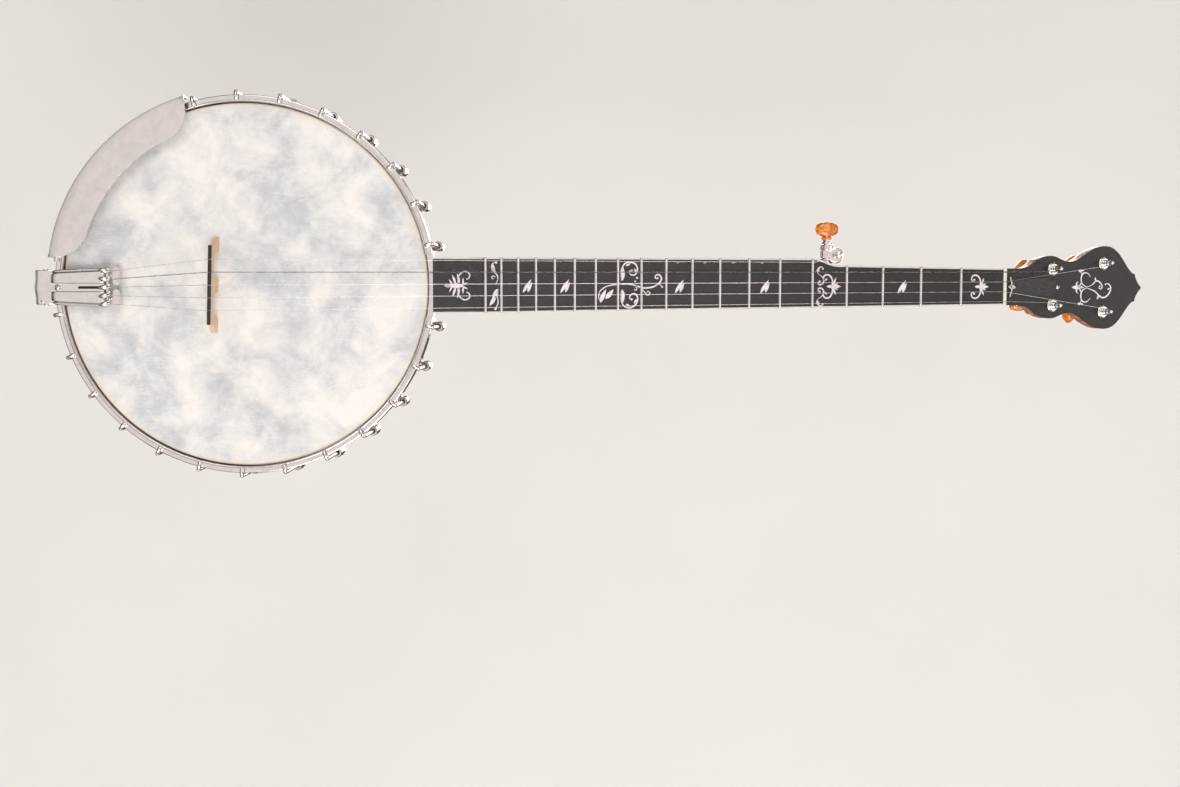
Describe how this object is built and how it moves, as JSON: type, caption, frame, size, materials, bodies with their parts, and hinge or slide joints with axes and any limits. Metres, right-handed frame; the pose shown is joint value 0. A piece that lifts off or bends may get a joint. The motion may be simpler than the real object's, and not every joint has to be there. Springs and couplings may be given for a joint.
{
  "type": "banjo",
  "caption": "Open-back five-string banjo with a round rim, hooks, coordinator rod, bridge, tailpiece, armrest and geared pegs.",
  "frame": {"origin": "on the neck's centre line just above the nut, where the arms of a hanger pass under the peghead", "axes": "+Z along the head's plane towards the peghead, which is up as the banjo hangs, -Y out of the head's face, +X to the first string's side"},
  "size_m": [0.3254, 0.1224, 0.9609],
  "materials": {
    "nickel": "polished nickel plate",
    "neck_maple": "amber gloss lacquer over flamed maple",
    "rim_maple": "amber satin lacquer over laminated maple",
    "ebony": "oiled ebony",
    "head": "matt, mottled like calfskin",
    "bone": "polished bone",
    "bridge_maple": "bare maple with an ebony top",
    "amber": "polished, translucent amber",
    "string_steel": "bright drawn wire"
  },
  "bodies": {
    "banjo": {"rim": "rim_maple", "tone_ring": "nickel", "drum_head": "head", "tension_hoop": "nickel", "coordinator_rod": "nickel", "bracket_01": "nickel", "bracket_02": "nickel", "bracket_03": "nickel", "bracket_04": "nickel", "bracket_05": "nickel", "bracket_06": "nickel", "bracket_07": "nickel", "bracket_08": "nickel", "bracket_09": "nickel", "bracket_10": "nickel", "bracket_11": "nickel", "bracket_12": "nickel", "bracket_13": "nickel", "bracket_14": "nickel", "bracket_15": "nickel", "bracket_16": "nickel", "bracket_17": "nickel", "bracket_18": "nickel", "bracket_19": "nickel", "bracket_20": "nickel", "bracket_21": "nickel", "bracket_22": "nickel", "bracket_23": "nickel", "bracket_24": "nickel", "bracket_25": "nickel", "bracket_26": "nickel", "neck": "neck_maple", "heel_cap": "ebony", "fretboard": "ebony", "nut": "bone", "peghead_overlay": "ebony", "truss_rod_cover": "ebony", "peg_housing_fourth": "nickel", "peg_housing_third": "nickel", "peg_housing_second": "nickel", "peg_housing_first": "nickel", "peg_housing_fifth": "nickel", "string_fifth": "string_steel", "string_fourth": "string_steel", "string_third": "string_steel", "string_second": "string_steel", "string_first": "string_steel", "bridge": "bridge_maple", "tailpiece": "nickel", "armrest": "nickel"},
    "button_fourth": {"peg_button_fourth": "amber"},
    "post_fourth": {"peg_post_fourth": "nickel"},
    "button_first": {"peg_button_first": "amber"},
    "post_first": {"peg_post_first": "nickel"},
    "button_third": {"peg_button_third": "amber"},
    "post_third": {"peg_post_third": "nickel"},
    "button_second": {"peg_button_second": "amber"},
    "post_second": {"peg_post_second": "nickel"},
    "button_fifth": {"peg_button_fifth": "amber"},
    "post_fifth": {"peg_post_fifth": "nickel"}
  },
  "joints": [
    {"name": "button_fourth_turn", "type": "hinge", "parent": "banjo", "child": "button_fourth", "pos_m": [-0.0159, 0.00376, 0.04683], "axis": [0, -0.9603, 0.279], "continuous": true},
    {"name": "post_fourth_turn", "type": "hinge", "parent": "banjo", "child": "post_fourth", "pos_m": [-0.0159, 0.00376, 0.04683], "axis": [0, -0.9603, 0.279], "continuous": true},
    {"name": "button_first_turn", "type": "hinge", "parent": "banjo", "child": "button_first", "pos_m": [0.0159, 0.00376, 0.04683], "axis": [0, -0.9603, 0.279], "continuous": true},
    {"name": "post_first_turn", "type": "hinge", "parent": "banjo", "child": "post_first", "pos_m": [0.0159, 0.00376, 0.04683], "axis": [0, -0.9603, 0.279], "continuous": true},
    {"name": "button_third_turn", "type": "hinge", "parent": "banjo", "child": "button_third", "pos_m": [-0.0215, 0.01891, 0.09897], "axis": [0, -0.9603, 0.279], "continuous": true},
    {"name": "post_third_turn", "type": "hinge", "parent": "banjo", "child": "post_third", "pos_m": [-0.0215, 0.01891, 0.09897], "axis": [0, -0.9603, 0.279], "continuous": true},
    {"name": "button_second_turn", "type": "hinge", "parent": "banjo", "child": "button_second", "pos_m": [0.0215, 0.01891, 0.09897], "axis": [0, -0.9603, 0.279], "continuous": true},
    {"name": "post_second_turn", "type": "hinge", "parent": "banjo", "child": "post_second", "pos_m": [0.0215, 0.01891, 0.09897], "axis": [0, -0.9603, 0.279], "continuous": true},
    {"name": "button_fifth_turn", "type": "hinge", "parent": "banjo", "child": "button_fifth", "pos_m": [-0.04, -0.01275, -0.15633], "axis": [-1, 0, 0], "continuous": true},
    {"name": "post_fifth_turn", "type": "hinge", "parent": "banjo", "child": "post_fifth", "pos_m": [-0.02659, -0.01236, -0.14944], "axis": [0, -0.9984, 0.0558], "continuous": true}
  ],
  "couplings": [
    {"joint": "post_fourth_turn", "follows": "button_fourth_turn", "ratio": 0.25},
    {"joint": "post_first_turn", "follows": "button_first_turn", "ratio": 0.25},
    {"joint": "post_third_turn", "follows": "button_third_turn", "ratio": 0.25},
    {"joint": "post_second_turn", "follows": "button_second_turn", "ratio": 0.25},
    {"joint": "post_fifth_turn", "follows": "button_fifth_turn", "ratio": 0.071429}
  ]
}
